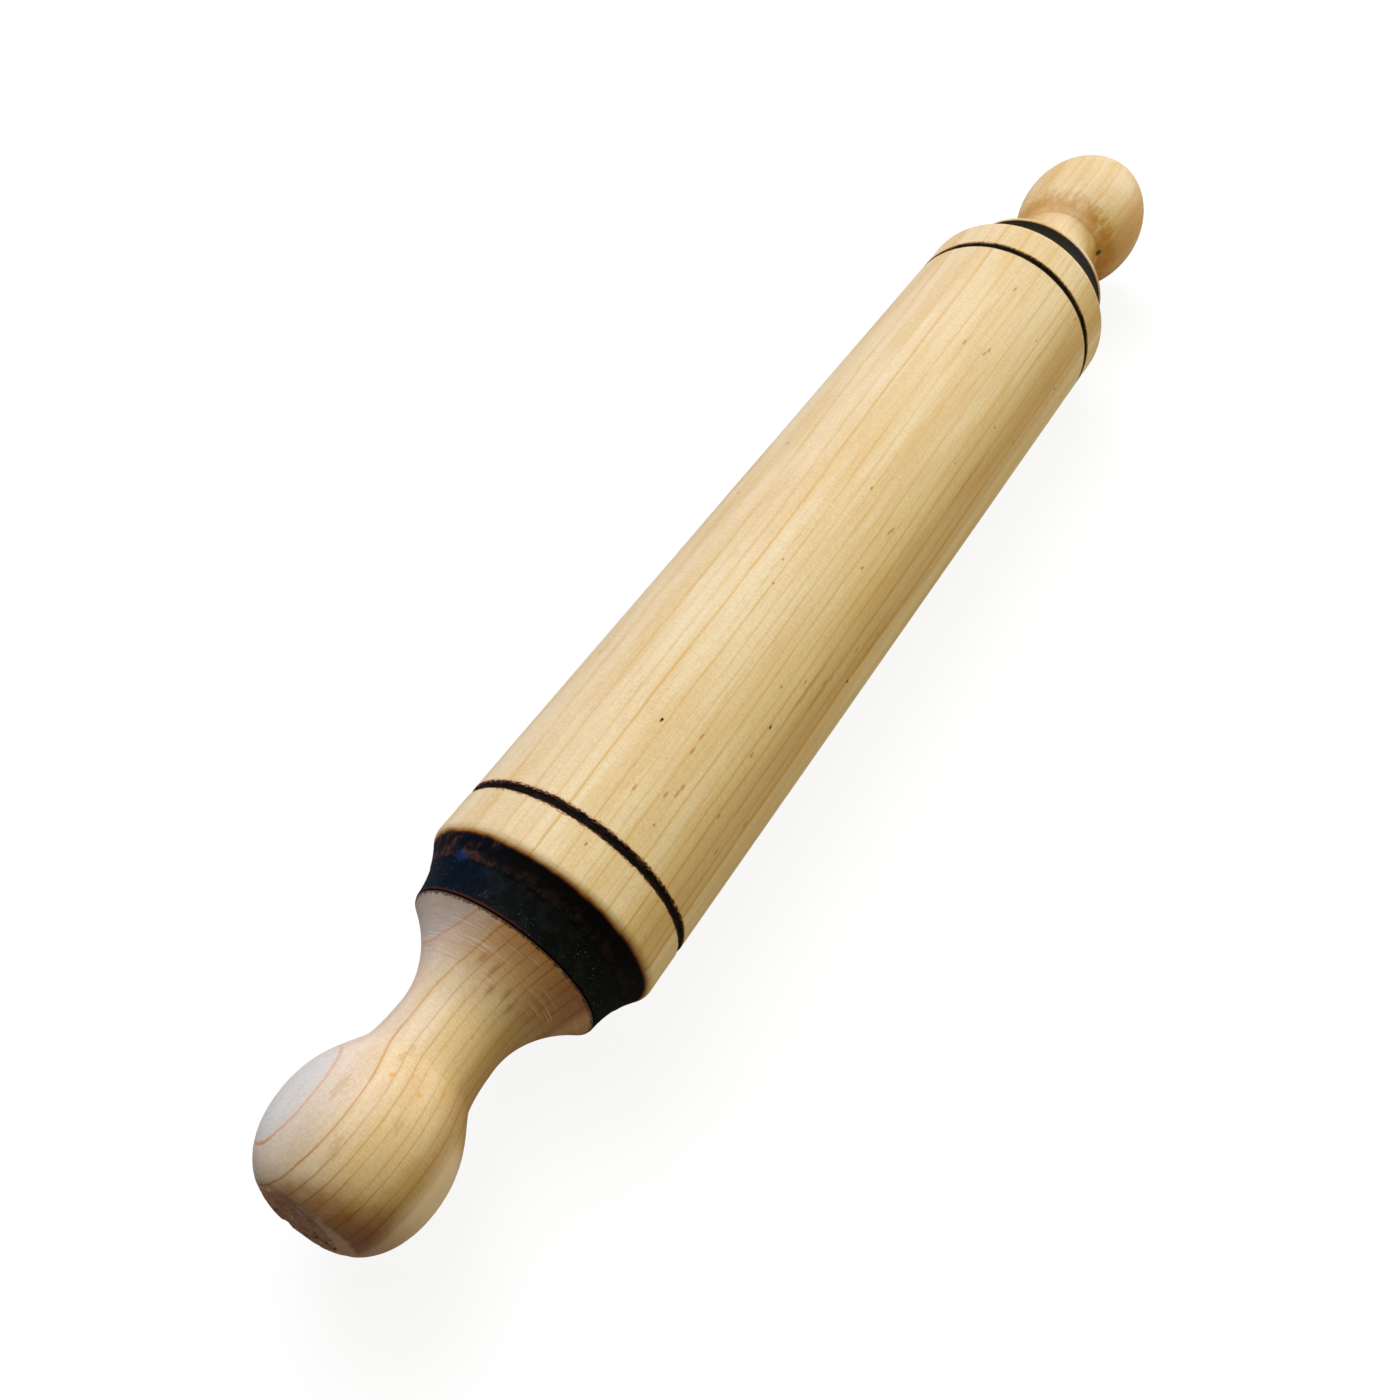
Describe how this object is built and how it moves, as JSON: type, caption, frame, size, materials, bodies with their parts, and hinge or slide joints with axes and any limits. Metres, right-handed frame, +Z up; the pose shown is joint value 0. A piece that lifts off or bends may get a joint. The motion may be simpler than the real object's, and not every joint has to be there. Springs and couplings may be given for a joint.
{
  "type": "rolling pin",
  "caption": "Turned wooden rolling pin: a straight barrel with blackened coved ends spins on a steel axle between ball-ended handles.",
  "frame": {"origin": "on the axis, in the middle of the barrel", "axes": "+X along the axis from the left handle to the right handle, +Z up; the pin lies on its barrel"},
  "size_m": [0.4172, 0.06, 0.06],
  "materials": {
    "pale_wood": "bare turned wood, satin, with thin orange growth rings and blackened coves",
    "rod_steel": "drawn steel, satin",
    "bearing_steel": "ground and polished bearing steel",
    "shield_steel": "pressed sheet steel, satin",
    "cage_nylon": "moulded, matt",
    "brass": "turned brass, satin"
  },
  "bodies": {
    "handles": {"axle_rod": "rod_steel", "left_handle": "pale_wood", "left_threaded_insert": "brass", "left_jam_nut": "rod_steel", "left_spacer_washer": "rod_steel", "left_bearing_inner_ring": "bearing_steel", "right_handle": "pale_wood", "right_threaded_insert": "brass", "right_jam_nut": "rod_steel", "right_spacer_washer": "rod_steel", "right_bearing_inner_ring": "bearing_steel"},
    "barrel": {"barrel": "pale_wood", "left_bearing_outer_ring": "bearing_steel", "left_bearing_front_shield": "shield_steel", "left_bearing_back_shield": "shield_steel", "right_bearing_outer_ring": "bearing_steel", "right_bearing_front_shield": "shield_steel", "right_bearing_back_shield": "shield_steel"},
    "left_ball_train": {"left_bearing_balls": "bearing_steel", "left_bearing_cage": "cage_nylon"},
    "right_ball_train": {"right_bearing_balls": "bearing_steel", "right_bearing_cage": "cage_nylon"}
  },
  "joints": [
    {"name": "barrel_spin", "type": "hinge", "parent": "handles", "child": "barrel", "pos_m": [0, 0, 0], "axis": [1, 0, 0], "continuous": true},
    {"name": "left_ball_train_spin", "type": "hinge", "parent": "handles", "child": "left_ball_train", "pos_m": [-0.13275, 0, 0], "axis": [1, 0, 0], "continuous": true},
    {"name": "right_ball_train_spin", "type": "hinge", "parent": "handles", "child": "right_ball_train", "pos_m": [0.13145, 0, 0], "axis": [1, 0, 0], "continuous": true}
  ],
  "couplings": [
    {"joint": "left_ball_train_spin", "follows": "barrel_spin", "ratio": 0.6323},
    {"joint": "right_ball_train_spin", "follows": "barrel_spin", "ratio": 0.6323}
  ]
}
